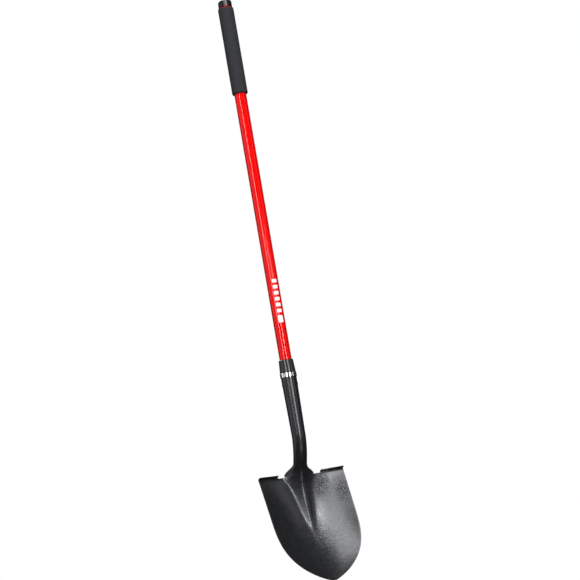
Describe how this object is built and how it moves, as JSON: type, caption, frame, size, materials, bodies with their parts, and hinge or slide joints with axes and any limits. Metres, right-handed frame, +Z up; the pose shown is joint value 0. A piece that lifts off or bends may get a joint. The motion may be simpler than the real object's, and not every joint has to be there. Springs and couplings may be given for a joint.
{
  "type": "round point shovel",
  "caption": "Long-handled round point digging shovel: dished steel blade with foot steps, riveted socket, straight tubular handle and cushioned foam grip.",
  "frame": {"origin": "under the middle of the tool's bounding box, at the height of the blade's tip", "axes": "+Z up the handle towards the grip, -Y towards the hollow face of the blade and the front of the foot steps, X across the blade"},
  "size_m": [0.2298, 0.1285, 1.518],
  "materials": {
    "blade_steel": "black lacquer over steel, satin, slightly mottled",
    "collar_plastic": "moulded, satin",
    "band_metal": "bright plated",
    "rivet_steel": "lacquered with the blade",
    "handle_fibreglass": "glossy pultruded fibreglass",
    "core_wood": "plain",
    "grip_foam": "matte closed-cell foam",
    "cap_plastic": "satin vinyl"
  },
  "bodies": {
    "root": {"blade": "blade_steel", "socket_collar": "collar_plastic", "socket_band": "band_metal", "socket_rivet": "rivet_steel", "handle_tube": "handle_fibreglass", "handle_core": "core_wood", "foam_grip": "grip_foam", "end_cap": "cap_plastic"}
  },
  "joints": []
}
